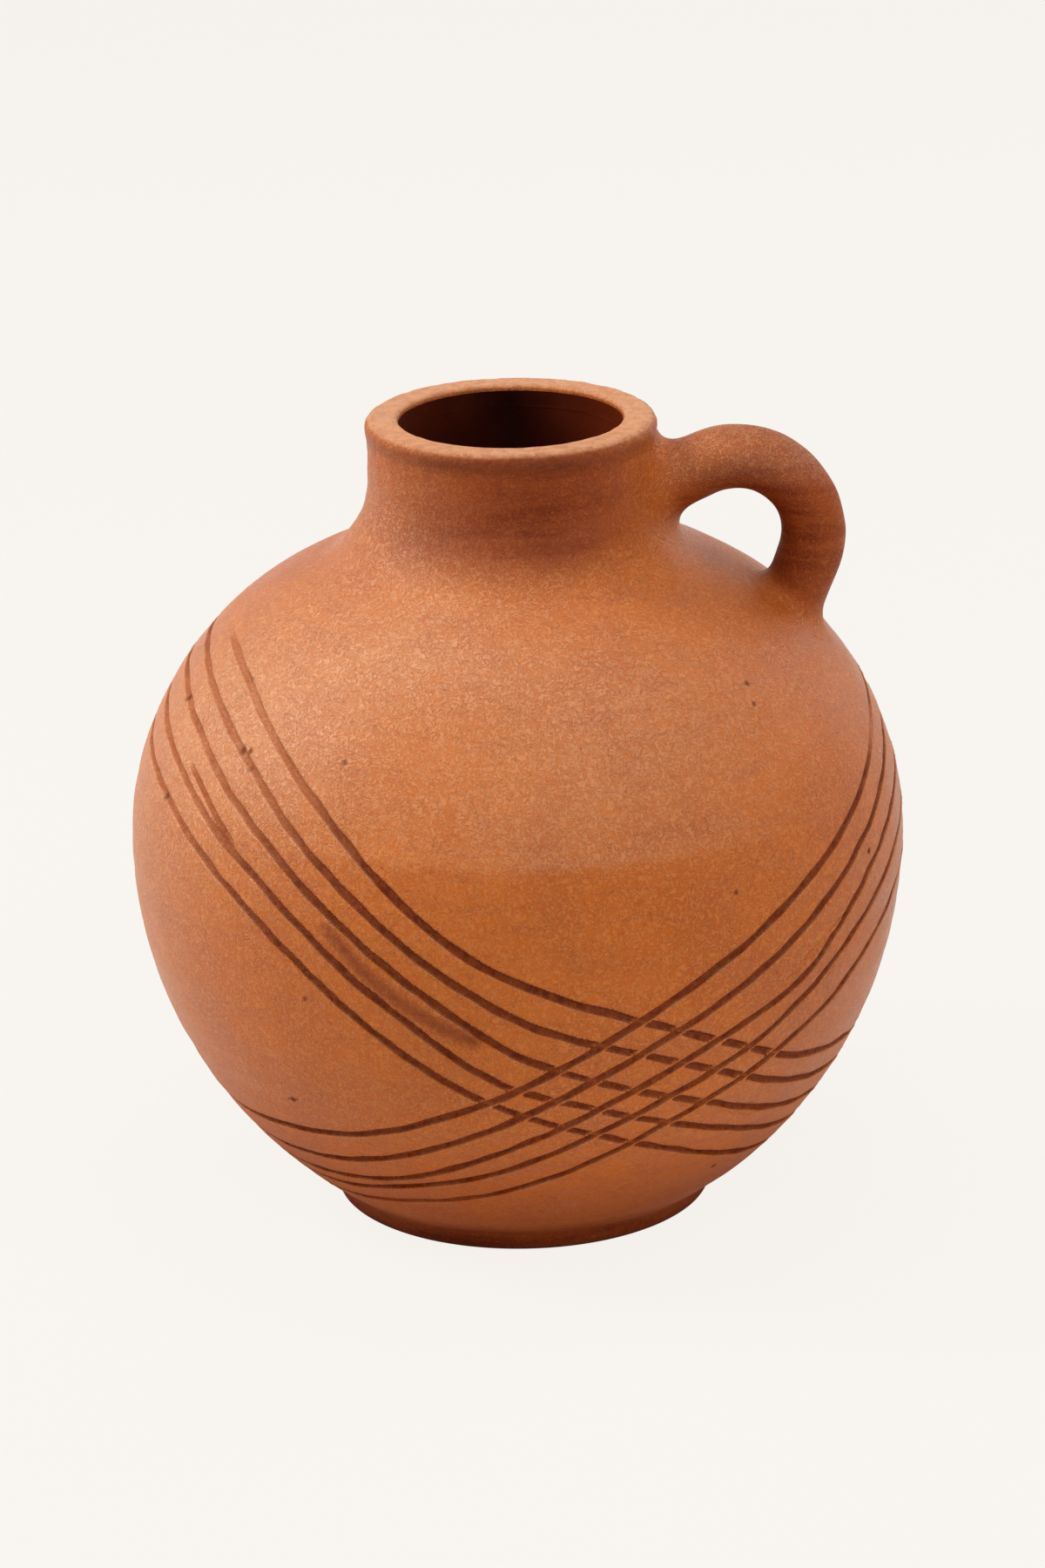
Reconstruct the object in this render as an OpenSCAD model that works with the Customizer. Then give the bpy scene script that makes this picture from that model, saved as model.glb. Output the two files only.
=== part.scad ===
// Burnished terracotta water jar with one loop handle and two hand-cut bands of lines.
// Units are millimetres and +Z is up.
// The origin is the centre of the foot, on the ground. The handle points along +X.

/* [Body] */
// Diameter across the belly
belly_d = 220; // [200:1:240]
// Height of the widest point above the ground
belly_h = 108; // [102:1:114]
// Height to the top of the rim
jar_h = 230; // [226:1:250]
// Radius of the outer arc from the foot up to the belly
lower_arc = 124; // [120:1:132]
// Radius of the outer arc from the belly up to the neck
shoulder_arc = 87; // [80:1:90]
// Thickness of the clay wall
wall = 9; // [6:0.5:11]

/* [Foot] */
// Diameter of the foot disc
foot_d = 108.5; // [100:0.5:112]
// Thickness of the foot disc
foot_h = 4; // [3:0.5:6]
// Rounding of the foot edges
foot_round = 1.2; // [0.6:0.1:1.4]
// Thickness of the body floor that rests on the foot disc
floor_t = 6; // [4:0.5:10]

/* [Neck and rim] */
// Outer diameter of the neck
neck_d = 80.8; // [76:0.2:88]
// Radius of the hollow curve from the shoulder to the neck
neck_sweep = 27; // [20:1:29]
// Diameter across the rim
rim_d = 81.8; // [81:0.2:90]
// Height of the rim coil
rim_h = 6.5; // [4:0.5:8]
// Rounding of the outer top edge of the rim
rim_round = 2.4; // [1:0.1:3]
// Rounding of the inner top edge of the rim
lip_round = 1.4; // [0.6:0.1:2]

/* [Handle] */
// Thickness of the handle coil in the plane of the loop
handle_t = 18; // [14:0.5:20]
// Width of the handle coil across the loop
handle_w = 20; // [14:0.5:24]
// Radius of the handle loop along the middle of the coil
loop_r = 22; // [20:0.5:26]
// Distance from the outside of the neck to the middle of the loop
loop_out = 22; // [20:0.5:26]
// Depth of the middle of the loop below the top of the rim
loop_drop = 35; // [34:0.5:40]
// Angle of the loop, above horizontal, where it turns straight for the neck
upper_turn = 115; // [105:1:125]
// Angle of the loop, below horizontal, where it turns straight for the shoulder
lower_turn = 20; // [10:1:30]
// Radius of the smoothed clay where the handle meets the neck
upper_flare = 10; // [6:0.5:12]
// Radius of the smoothed clay where the handle meets the shoulder
lower_flare = 4.5; // [3:0.5:8]

/* [Incised bands] */
// Width of one cut line
line_w = 2.4; // [1.6:0.1:3.2]
// Depth of one cut line
line_depth = 1.3; // [0.6:0.1:2]
// Number of lines in each band
line_count = 5; // [3:1:6]
// Angle between two lines of a band, seen from the belly centre
line_pitch = 5; // [3.6:0.1:6.2]
// Tilt of the first band, which falls towards the handle side
first_tilt = 33.6; // [28:0.1:38]
// Direction of the fall of the first band, from +X towards +Y
first_turn = -8.4; // [-16:0.1:0]
// Angle of the first band's top line over the belly centre
first_top = 4; // [2:0.1:6]
// Depth of the sag in the first band, as an angle seen from the belly centre
first_sag = 2; // [0:0.1:3]
// Tilt of the second band, which rises towards the handle side
second_tilt = 29.7; // [24:0.1:36]
// Direction of the fall of the second band, from +X towards +Y
second_turn = -155; // [-165:1:-145]
// Angle of the second band's top line over the belly centre
second_top = -5.7; // [-8:0.1:-3]
// Depth of the waver in the second band, as an angle seen from the belly centre
second_sag = 0.6; // [0:0.1:2]
// Change of slope from one line of the second band to the next
second_fan = 0.011; // [0:0.001:0.02]

/* [Hidden] */
$fn = 180;
belly_r = belly_d / 2;
foot_r = foot_d / 2;
neck_r = neck_d / 2;
rim_r = rim_d / 2;
mouth_r = neck_r - wall;
rim_z = jar_h - rim_h;
floor_z = foot_h + floor_t;
cut_over = 1;

// Hand waver of each band: [length of one wave, position of its crest], seen from the belly centre.
first_wave = [94.8, 46.9];
second_wave = [61.5, 42.7];
line_steps = 8;
// Length on the belly of one degree seen from its centre.
degree = belly_r * PI / 180;

// The shoulder's arc laps over the hollow curve's arc by this much, so that they cross cleanly.
arc_lap = 0.002;
// The neck is set on this far above the point where the shoulder turns hollow.
neck_lift = 2;

// Centres of the outer arcs, and the direction in which the shoulder meets the hollow curve.
lower_x = belly_r - lower_arc;
shoulder_x = belly_r - shoulder_arc;
sweep_x = neck_r + neck_sweep;
sweep_reach = shoulder_arc + neck_sweep - arc_lap;
sweep_z = belly_h + sqrt(pow(sweep_reach, 2) - pow(sweep_x - shoulder_x, 2));
sweep_angle = atan2(sweep_z - belly_h, sweep_x - shoulder_x);
neck_z = belly_h + shoulder_arc * sin(sweep_angle) + neck_lift;

loop_x = neck_r + loop_out;
loop_z = jar_h - loop_drop;

// Rings of the handle coil: degrees round the loop, and steps along its straight ends.
ring_sides = 32;
ring_turn = 5;
ring_step = 2;
// The ends run this far into the jar before they are cut off along its surface.
end_sink = handle_t / 2;
upper_reach = (loop_out + loop_r * cos(upper_turn)) / sin(upper_turn) + end_sink;
lower_reach = 1.2 * jar_gap(ring_centre([-lower_turn, 0])) + end_sink;
// Part of a flare's radius at which it stops short of the jar, so that its edge isn't a knife.
flare_stop = 0.1;

// Filled half outline of the jar, moved outward by grow.
module outline(grow = 0) {
    collar_r = neck_r + grow;
    intersection() {
        translate([lower_x, belly_h]) circle(lower_arc + grow);
        square([belly_d, belly_h]);
    }
    intersection() {
        translate([shoulder_x, belly_h]) circle(shoulder_arc + grow);
        translate([0, belly_h]) square([belly_d, jar_h - belly_h]);
    }
    // The neck's part runs down inside the shoulder, so that the two overlap.
    difference() {
        polygon([
            [0, belly_h],
            [shoulder_x, belly_h],
            [sweep_x, sweep_z],
            [collar_r, sweep_z],
            [collar_r, jar_h],
            [0, jar_h],
        ]);
        translate([sweep_x, sweep_z]) circle(neck_sweep - grow);
    }
}

// Half outline of the clay wall between two heights.
module wall_slice(low, high) {
    intersection() {
        difference() {
            outline();
            outline(-wall);
        }
        translate([0, low]) square([belly_d, high - low]);
    }
}

// One cut line seen along the plane of its band: a ribbon that follows the waver.
module ribbon(height, slope, sag, wave) {
    line_step = belly_r / line_steps;
    reach = belly_r + line_step;
    along = [-reach : line_step : reach];
    back_along = [reach : -line_step : -reach];
    function rise(u) = degree * (height + sag * cos(360 * (u / degree - wave[1]) / wave[0])) + slope * u;
    polygon(concat(
        [for (u = along) [-u, rise(u) + line_w / 2]],
        [for (u = back_along) [-u, rise(u) - line_w / 2]]
    ));
}

// Wavy slabs through the whole jar, tilted so that they fall towards the turn direction.
module band(top, fan, sag, wave, tilt, turn) {
    translate([0, 0, belly_h])
        rotate([0, 0, turn])
            rotate([0, tilt, 0])
                rotate([90, 0, 0])
                    for (i = [0 : line_count - 1])
                        linear_extrude(height = 1.2 * belly_d, center = true)
                            ribbon(top - i * line_pitch, fan * (line_count - 1 - 2 * i) / 2, sag, wave);
}

// Everything that is cut away by the incised lines.
module incised_lines() {
    intersection() {
        union() {
            band(first_top, 0, first_sag, first_wave, first_tilt, first_turn);
            band(second_top, second_fan, second_sag, second_wave, second_tilt, second_turn);
        }
        rotate_extrude() difference() {
            outline(cut_over);
            outline(-line_depth);
        }
    }
}

module foot() {
    color("sienna")
        rotate_extrude() {
            square([foot_r - foot_round, foot_h]);
            translate([0, foot_round]) square([foot_r, foot_h - 2 * foot_round]);
            for (z = [foot_round, foot_h - foot_round])
                translate([foot_r - foot_round, z]) circle(foot_round);
        }
}

module lower_body() {
    color("peru") difference() {
        rotate_extrude() {
            wall_slice(floor_z, belly_h);
            intersection() {
                outline();
                translate([0, foot_h]) square([belly_d, floor_t]);
            }
        }
        incised_lines();
    }
}

module upper_body() {
    color("chocolate") difference() {
        rotate_extrude() wall_slice(belly_h, neck_z);
        incised_lines();
    }
}

module neck() {
    color("peru") rotate_extrude() wall_slice(neck_z, rim_z);
}

// Flattened coil that closes the neck, with a softened outer and inner edge.
module rim() {
    color("sienna") rotate_extrude() {
        translate([mouth_r, rim_z]) square([rim_r - mouth_r, rim_h - rim_round]);
        translate([mouth_r + lip_round, rim_z])
            square([rim_r - rim_round - mouth_r - lip_round, rim_h]);
        translate([mouth_r, rim_z]) square([lip_round, rim_h - lip_round]);
        translate([rim_r - rim_round, jar_h - rim_round]) circle(rim_round);
        translate([mouth_r + lip_round, jar_h - lip_round]) circle(lip_round);
    }
}

// Distance from a point to the outside of the neck or shoulder, negative inside.
function jar_gap(p) =
    let (
        r = norm([p.x, p.y]),
        on_neck = atan2(p.z - belly_h, r - shoulder_x) > sweep_angle
    )
    !on_neck ? norm([r - shoulder_x, p.z - belly_h]) - shoulder_arc
    : p.z > sweep_z ? r - neck_r
    : neck_sweep - norm([r - sweep_x, p.z - sweep_z]);

// Growth of the coil's radius where it is this close to the jar.
function growth(gap, flare) =
    let (rest = flare - max(gap, flare * flare_stop))
    rest <= 0 ? 0 : flare - sqrt(flare * flare - rest * rest);

// A ring's place is [degrees round the loop, distance on along the straight end there].
function ring_centre(place) = [
    loop_x + loop_r * cos(place[0]) - place[1] * sin(place[0]),
    0,
    loop_z + loop_r * sin(place[0]) + place[1] * cos(place[0]),
];

function ring(place, flare) = [
    for (k = [0 : ring_sides - 1])
        let (
            a = 360 * k / ring_sides,
            outward = handle_t / 2 * cos(a),
            arm = [outward * cos(place[0]), handle_w / 2 * sin(a), outward * sin(place[0])],
            skin = ring_centre(place) + arm
        )
        skin + growth(jar_gap(skin), flare) * arm / norm(arm)
];

// Coil from inside the neck, round the loop and down into the shoulder.
module handle_coil() {
    rings = concat(
        [for (d = [upper_reach : -ring_step : ring_step]) ring([upper_turn, d], upper_flare)],
        [for (a = [upper_turn : -ring_turn : -lower_turn]) ring([a, 0], upper_flare)],
        [for (d = [ring_step : ring_step : lower_reach]) ring([-lower_turn, -d], lower_flare)]
    );
    last = len(rings) - 1;
    walls = [
        for (i = [0 : last - 1], k = [0 : ring_sides - 1])
            let (
                here = i * ring_sides + k,
                beside = i * ring_sides + (k + 1) % ring_sides
            )
            each [
                [here, beside, beside + ring_sides],
                [here, beside + ring_sides, here + ring_sides],
            ]
    ];
    start_cap = [for (k = [ring_sides - 1 : -1 : 0]) k];
    end_cap = [for (k = [0 : ring_sides - 1]) last * ring_sides + k];
    polyhedron([for (r = rings) each r], concat(walls, [start_cap, end_cap]));
}

module handle() {
    color("chocolate") difference() {
        handle_coil();
        rotate_extrude() outline();
    }
}

foot();
lower_body();
upper_body();
neck();
rim();
handle();
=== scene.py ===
"""Terracotta water jar: its thrown, burnished and incised surface, its fired clay and a plain studio.

Lengths are in millimetres until a mesh is made. The origin is the centre of the foot on the ground,
+Z is up, the handle points along +X and the photograph was taken from -Y.
"""

import math

import bpy
import numpy as np
from mathutils import Matrix, Vector


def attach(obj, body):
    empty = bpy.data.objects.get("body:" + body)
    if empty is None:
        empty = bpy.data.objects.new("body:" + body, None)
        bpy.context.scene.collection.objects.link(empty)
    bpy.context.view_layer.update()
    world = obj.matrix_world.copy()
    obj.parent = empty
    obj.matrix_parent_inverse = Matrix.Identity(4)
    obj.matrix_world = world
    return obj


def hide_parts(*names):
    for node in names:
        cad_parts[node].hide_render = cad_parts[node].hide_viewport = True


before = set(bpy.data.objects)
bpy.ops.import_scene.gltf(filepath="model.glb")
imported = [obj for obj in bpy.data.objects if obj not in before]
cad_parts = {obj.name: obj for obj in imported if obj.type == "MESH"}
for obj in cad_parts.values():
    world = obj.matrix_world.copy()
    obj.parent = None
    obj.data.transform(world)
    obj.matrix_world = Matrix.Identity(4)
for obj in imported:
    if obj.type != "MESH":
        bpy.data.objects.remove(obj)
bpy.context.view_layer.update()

MM = 0.001

# Outline of the jar: two arcs that meet at the belly, a hollow sweep and a straight collar.
BELLY_R = 110.0
BELLY_H = 108.0
LOWER_ARC = 124.0
SHOULDER_ARC = 87.0
NECK_R = 40.4
NECK_SWEEP = 27.0
NECK_Z = 190.13
RIM_R = 40.9
RIM_Z = 223.5
RIM_ROUND = 2.4
LIP_ROUND = 1.4
JAR_H = 230.0
WALL = 9.0
MOUTH_R = NECK_R - WALL
FOOT_R = 54.25
FOOT_H = 4.0
FOOT_ROUND = 1.6
FOOT_FILLET = 4.5
FLOOR_Z = 10.0

LOWER_C = (BELLY_R - LOWER_ARC, BELLY_H)
SHOULDER_C = (BELLY_R - SHOULDER_ARC, BELLY_H)
SWEEP_X = NECK_R + NECK_SWEEP
SWEEP_C = (SWEEP_X, BELLY_H + math.sqrt((SHOULDER_ARC + NECK_SWEEP) ** 2 - (SWEEP_X - SHOULDER_C[0]) ** 2))
SWEEP_ANGLE = math.atan2(SWEEP_C[1] - BELLY_H, SWEEP_C[0] - SHOULDER_C[0])

# The outer wall's lattice: whole cells, each split in four and in four again near a cut line.
SPLIT = 4
COLUMNS = 304
LOWER_ROWS = 55
UPPER_ROWS = 47
FINE_COLUMNS = COLUMNS * SPLIT
INNER_COLUMNS = 160

# Cut lines. A band's lines lie about one tilted plane each, at a height over the belly centre.
LINE_W = 2.6
LINE_DEPTH = 0.95
EDGE_BLUR = 1.08
NEAR_CUT = 0.32


def arc(centre, radius, start, end, steps):
    """Points on a circle in the profile plane, from one angle to another, both in radians."""
    a = np.linspace(start, end, steps + 1)
    return np.stack([centre[0] + radius * np.cos(a), centre[1] + radius * np.sin(a)], 1)


class Profile:
    """A dense half outline with its length, from which rows of (r, z) and their normals are read."""

    def __init__(self, parts):
        points = np.concatenate(parts)
        keep = np.r_[True, np.linalg.norm(np.diff(points, axis=0), axis=1) > 1e-9]
        self.points = points[keep]
        steps = np.linalg.norm(np.diff(self.points, axis=0), axis=1)
        self.length = np.r_[0, np.cumsum(steps)]

    def at(self, length):
        return np.stack([np.interp(length, self.length, self.points[:, k]) for k in (0, 1)], 1)

    def where(self, z, low=0.0):
        """Length at which the outline first reaches height z, beyond a given length."""
        k = np.nonzero((self.length[:-1] >= low) & ((self.points[:-1, 1] - z) * (self.points[1:, 1] - z) <= 0))[0][0]
        span = self.points[k + 1, 1] - self.points[k, 1]
        share = 0 if span == 0 else (z - self.points[k, 1]) / span
        return self.length[k] + share * (self.length[k + 1] - self.length[k])


def outer_profile():
    """Outline from the ground up to the rim's underside, with the foot faired into the bowl."""
    fillet_x = FOOT_R + FOOT_FILLET
    reach = LOWER_ARC + FOOT_FILLET
    fillet_z = BELLY_H - math.sqrt(reach ** 2 - (fillet_x - LOWER_C[0]) ** 2)
    lean = math.atan2(fillet_z - LOWER_C[1], fillet_x - LOWER_C[0])
    return Profile([
        arc((FOOT_R - FOOT_ROUND, FOOT_ROUND), FOOT_ROUND, -math.pi / 2, 0, 12),
        arc((fillet_x, fillet_z), FOOT_FILLET, math.pi, lean + math.pi, 24),
        arc(LOWER_C, LOWER_ARC, lean, 0, 1500),
        arc(SHOULDER_C, SHOULDER_ARC, 0, SWEEP_ANGLE, 1500),
        arc(SWEEP_C, NECK_SWEEP, SWEEP_ANGLE + math.pi, math.pi, 600),
        np.array([[NECK_R, RIM_Z]]),
    ])


OUTER = outer_profile()


def spin(rz, columns):
    """Points of a lathe surface: rows x columns x 3."""
    a = 2 * math.pi * np.arange(columns) / columns
    r, z = rz[:, 0][:, None], rz[:, 1][:, None]
    return np.stack([r * np.cos(a), r * np.sin(a), z + 0 * a], 2)


class Waves:
    """Smooth noise: a fixed sum of sine waves in space, between about -1 and 1."""

    def __init__(self, seed, wavelength, count=14, spread=0.5, stretch=(1, 1, 1)):
        draw = np.random.RandomState(seed)
        ways = draw.normal(size=(count, 3))
        ways /= np.linalg.norm(ways, axis=1)[:, None]
        sizes = wavelength * draw.uniform(1 - spread, 1 + spread, count)
        self.ways = 2 * math.pi * ways / sizes[:, None] / np.array(stretch)
        self.starts = draw.uniform(0, 2 * math.pi, count)
        self.scale = 1.4 / math.sqrt(count)

    def at(self, points):
        total = np.zeros(points.shape[:-1])
        for way, start in zip(self.ways, self.starts):
            total += np.sin(points @ way + start)
        return np.clip(total * self.scale, -1.6, 1.6)


HAND_SWELL = Waves(3, 90)
HAND_DENTS = Waves(5, 20, stretch=(1, 1, 0.7))
THROWING = Waves(8, 7, stretch=(30, 30, 1))
RIPPLES = Waves(9, 4.5, stretch=(3, 3, 1))


def hand_dip(points):
    """How far the thrown and burnished surface lies inside the true outline."""
    z = points[..., 2]
    rings = 0.05 + 0.09 * np.exp(-((z - 197) / 9) ** 2)
    dip = 0.30 + 0.16 * HAND_SWELL.at(points) + 0.045 * HAND_DENTS.at(points)
    return np.clip(dip + rings * THROWING.at(points) + 0.012 * RIPPLES.at(points), 0, None)


# Each band: tilt and turn of its planes in degrees, its waver (height, crest, length), and its lines.
# A line has its height and slope, the hand's wander every 15 degrees round the jar, and where it is weak:
# (angle, reach, share of depth that is left).
BANDS = {
    "first": {
        "tilt": 33.56,
        "turn": -8.42,
        "waver": (3.79, 90.5, 182.6),
        "start": 15,
        "lines": [
            (7.79, 0, (0.9, 2.0, 0.5, -0.3, -0.9, -1.4, 0.2, 1.6, 0.5, -1.7), [(2, 16, 0.0), (30, 35, 0.5)]),
            (-2.01, 0, (1.0, 0.7, 0.1, -1.2, -0.4, -0.3, -0.7, 1.5, 1.3, -0.4), [(30, 40, 0.6)]),
            (-11.62, 0, (1.2, 0.8, -0.4, 0.0, 1.0, 1.2, -1.3, -0.8, 0.2, -0.7), [(28, 36, 0.65)]),
            (-21.3, 0, (-0.5, -1.0, -1.6, 0.3, 1.0, 0.8, -2.1, -0.3, 0.8, 0.7), [(28, 36, 0.65)]),
            (-30.54, 0, (-1.8, -1.3, -1.2, 0.4, 1.4, 1.0, -0.5, 0.0, 0.3, -0.4), [(25, 36, 0.65)]),
        ],
    },
    "second": {
        "tilt": 29.74,
        "turn": -155.04,
        "waver": (1.08, 81.8, 118.5),
        "start": -165,
        "lines": [
            (-11.01, 0.0124, (0.6, -0.6, -0.1, -0.5, 0.1, 1.3, 0.8, -0.9, -1.1, 0.0), [(-34, 9, 0.35)]),
            (-20.96, 0.016, (-0.9, -0.9, 0.1, 0.7, 0.6, 0.7, 0.2, -0.8, -0.7, 0.0), []),
            (-31.43, 0.010, (0.0, -0.7, 0.7, 0.9, 0.7, -0.1, -2.4, 0.3, 0.7, 0.0), []),
            (-39.49, -0.0096, (0.0, 1.4, 0.1, -0.2, -0.4, -1.2, 0.1, 0.6, 0.0, 0.0), []),
            (-49.38, -0.0288, (0.4, 0.9, -0.6, -1.2, -0.2, -0.2, -0.1, 0.4, 0.0, 0.0), [(-150, 14, 0.6)]),
        ],
    },
}

# Short marks beside the bands: points as (degrees round the jar, height), then width and depth.
MARKS = [
    ([(-154.9, 146.7), (-148.3, 142.2), (-142.2, 136.5), (-137.9, 132.1), (-134.8, 128.5)], 2.0, 0.75),
    ([(-30.3, 106.8), (-37.4, 102.4), (-43.5, 96.6), (-48.5, 90.2), (-52.0, 86.1)], 1.0, 0.28),
    ([(-31.6, 103.7), (-38.5, 99.5), (-44.3, 94.5), (-49.2, 87.9)], 0.9, 0.22),
    ([(-25.6, 102.4), (-31.2, 96.9), (-36.6, 89.8), (-41.9, 81.0)], 0.9, 0.25),
    ([(-57.4, 54.3), (-51.6, 49.4), (-45.0, 44.4)], 0.9, 0.2),
    ([(-132.7, 55.0), (-128.2, 56.7)], 1.0, 0.35),
    ([(-166.0, 157.4), (-164.4, 156.9)], 1.8, 0.9),
    ([(-141.5, 154.2), (-140.2, 153.8)], 1.7, 0.8),
    ([(-139.6, 154.5), (-138.6, 154.1)], 1.3, 0.7),
    ([(-138.3, 150.6), (-136.9, 150.3)], 1.5, 0.8),
    ([(-157.7, 134.2), (-156.6, 133.8)], 1.6, 0.8),
    ([(-27.5, 117.1), (-26.9, 116.9)], 1.3, 1.0),
    ([(-41.9, 169.0), (-41.4, 168.9)], 1.0, 0.5),
    ([(-57.5, 121.0), (-56.9, 120.9)], 1.1, 0.5),
]


def smooth_step(x):
    x = np.clip(x, 0, 1)
    return x * x * (3 - 2 * x)


def band_axes(tilt, turn):
    """Axis of a band's planes, the way they rise, and the way across."""
    t, a = math.radians(tilt), math.radians(turn)
    axis = np.array([math.sin(t) * math.cos(a), math.sin(t) * math.sin(a), math.cos(t)])
    rise = np.array([-math.cos(t) * math.cos(a), -math.cos(t) * math.sin(a), math.sin(t)])
    return axis, rise, np.cross(axis, rise)


def turn_gap(angle, other):
    """Smallest difference between two angles in degrees."""
    return np.abs((angle - other + 180) % 360 - 180)


def smooth_path(x, knots, values):
    """Values at evenly spaced knots joined by a smooth curve (cubic Hermite)."""
    step = knots[1] - knots[0]
    place = np.clip((x - knots[0]) / step, 0, len(knots) - 1.001)
    k = place.astype(int)
    t = place - k
    slope = np.gradient(values)
    a, b = values[k], values[k + 1]
    return (a * (2 * t ** 3 - 3 * t ** 2 + 1) + slope[k] * (t ** 3 - 2 * t ** 2 + t)
            + b * (3 * t ** 2 - 2 * t ** 3) + slope[k + 1] * (t ** 3 - t ** 2))


class Line:
    """One cut line: signed distance to it along the surface, and how wide and deep it is there."""

    def __init__(self, band, number):
        self.axis, self.rise, self.side = band_axes(band["tilt"], band["turn"])
        self.height, self.slope, wander, self.weak = band["lines"][number]
        self.waver = band["waver"]
        step = 15
        knots = band["start"] + step * np.arange(-1, len(wander) + 1)
        self.knots = knots
        self.wander = np.r_[0.0, wander, 0.0]
        draw = np.random.RandomState(40 + number + int(band["tilt"]))
        self.shake = [(draw.uniform(7, 60), draw.uniform(0, 2 * math.pi)) for _ in range(8)]

    def noise(self, phi, shift):
        total = sum(np.sin(np.radians(phi) * round(k) + start + shift * k) for k, start in self.shake)
        return total / math.sqrt(len(self.shake))

    def measure(self, points, normals):
        """Distance, tangent across the line, and the angle round the band's axis, all near the line."""
        p = points - np.array([0, 0, BELLY_H])
        u, w, h = p @ self.rise, p @ self.side, p @ self.axis
        phi = np.degrees(np.arctan2(w, u))
        tall, crest, length = self.waver
        turn = 2 * math.pi * (u - crest) / length
        law = self.height + self.slope * u + tall * np.cos(turn)
        grade = self.slope - tall * 2 * math.pi / length * np.sin(turn)
        middle = self.knots.mean()
        wander = smooth_path((phi - middle + 180) % 360 - 180 + middle, self.knots, self.wander)
        gap = h - law - wander - 0.13 * self.noise(phi, 0)
        across = self.axis - grade[..., None] * self.rise
        across = across - (across * normals).sum(-1, keepdims=True) * normals
        size = np.linalg.norm(across, axis=-1)
        return gap / size, across / size[..., None], phi

    def half_width(self, phi):
        return LINE_W / 2 * (1 + 0.07 * self.noise(phi, 1.7))

    def strength(self, phi):
        share = 1 + 0.10 * self.noise(phi, 3.1)
        for angle, reach, left in self.weak:
            share = share * (left + (1 - left) * smooth_step(turn_gap(phi, angle) / reach - 0.35))
        return share


LINES = {name: [Line(band, k) for k in range(len(band["lines"]))] for name, band in BANDS.items()}


def nearest_line(points, normals, name):
    """For each point the closest line of a band: distance, tangent, half width, depth, and the strength of its burr and
    of its painted edge highlight.
    """
    count = len(points)
    best = {
        "distance": np.full(count, 99.0),
        "across": np.zeros((count, 3)),
        "half": np.full(count, LINE_W / 2),
        "depth": np.zeros(count),
        "burr_and_highlight": np.zeros(count),
    }
    for line in LINES[name]:
        rough = (points - np.array([0, 0, BELLY_H])) @ line.axis - line.height
        near = np.nonzero(np.abs(rough) < 13)[0]
        distance, across, phi = line.measure(points[near], normals[near])
        closer = np.abs(distance) < np.abs(best["distance"][near])
        pick = near[closer]
        best["distance"][pick] = distance[closer]
        best["across"][pick] = across[closer]
        best["half"][pick] = line.half_width(phi[closer])
        best["depth"][pick] = LINE_DEPTH * np.clip(line.strength(phi[closer]), 0, 1.15)
        best["burr_and_highlight"][pick] = np.clip(0.7 + 0.6 * line.noise(phi[closer], 5.3), 0, 1)
    return best


def trough(line):
    """Depth of a cut with a steep upper wall, a flat floor and a softer lower wall."""
    x = np.clip(np.abs(line["distance"]) / line["half"], 0, 1)
    steep = np.where(line["distance"] > 0, 8.0, 5.0)
    return line["depth"] * (1 - x ** steep)


def lip(line):
    """Clay pushed up beside a cut, mostly along its lower edge."""
    outside = np.abs(line["distance"]) - line["half"]
    lower = np.exp(-((outside - 0.3) / 0.28) ** 2) * (line["distance"] < 0)
    upper = 0.6 * np.exp(-((outside - 0.3) / 0.28) ** 2) * (line["distance"] > 0)
    return 0.18 * line["burr_and_highlight"] * (lower + upper) * (line["depth"] / LINE_DEPTH)


def painted_edge_highlight(line):
    """Painted highlight: a thin pale line on the lit lower edge of a cut."""
    edge = np.exp(-((-line["distance"] - line["half"] + 0.02) / 0.27) ** 2)
    return edge * line["burr_and_highlight"] * np.clip(line["depth"] / LINE_DEPTH, 0, 1)


def painted_corner_shade(line):
    """Painted shade in the corner under the upper edge of a cut."""
    corner = np.exp(-((line["distance"] - line["half"] + 0.3) / 0.34) ** 2)
    return corner * np.clip(line["depth"] / LINE_DEPTH, 0, 1)


def mark_depth(points, mark):
    """Depth of a short mark, by distance to its run of points on the surface."""
    path, width, depth = mark
    knots = np.array([surface_point(math.radians(a), z) for a, z in path])
    gap = np.full(len(points), 99.0)
    along = np.zeros(len(points))
    spans = np.linalg.norm(np.diff(knots, axis=0), axis=1)
    done = np.r_[0, np.cumsum(spans)]
    for k, span in enumerate(spans):
        way = (knots[k + 1] - knots[k]) / span
        t = np.clip((points - knots[k]) @ way, 0, span)
        d = np.linalg.norm(points - knots[k] - t[:, None] * way, axis=1)
        closer = d < gap
        gap[closer] = d[closer]
        along[closer] = done[k] + t[closer]
    ends = np.minimum(along, done[-1] - along) + width / 4
    taper = smooth_step(ends / (0.25 * done[-1] + width / 2))
    return depth * taper * np.clip(1 - (2 * gap / width) ** 2, 0, 1), gap - width / 2, depth * taper


def surface_point(angle, z):
    rz = OUTER.at(np.array([OUTER.where(z)]))[0]
    return np.array([rz[0] * math.cos(angle), rz[0] * math.sin(angle), z])


def floor_share(gap, depth):
    """Half at the edge of a cut and 1 inside it, so that a shader can draw a crisp edge between points."""
    return np.clip(0.5 - gap / EDGE_BLUR, 0, 1) * smooth_step(depth / LINE_DEPTH / 0.5)


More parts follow.
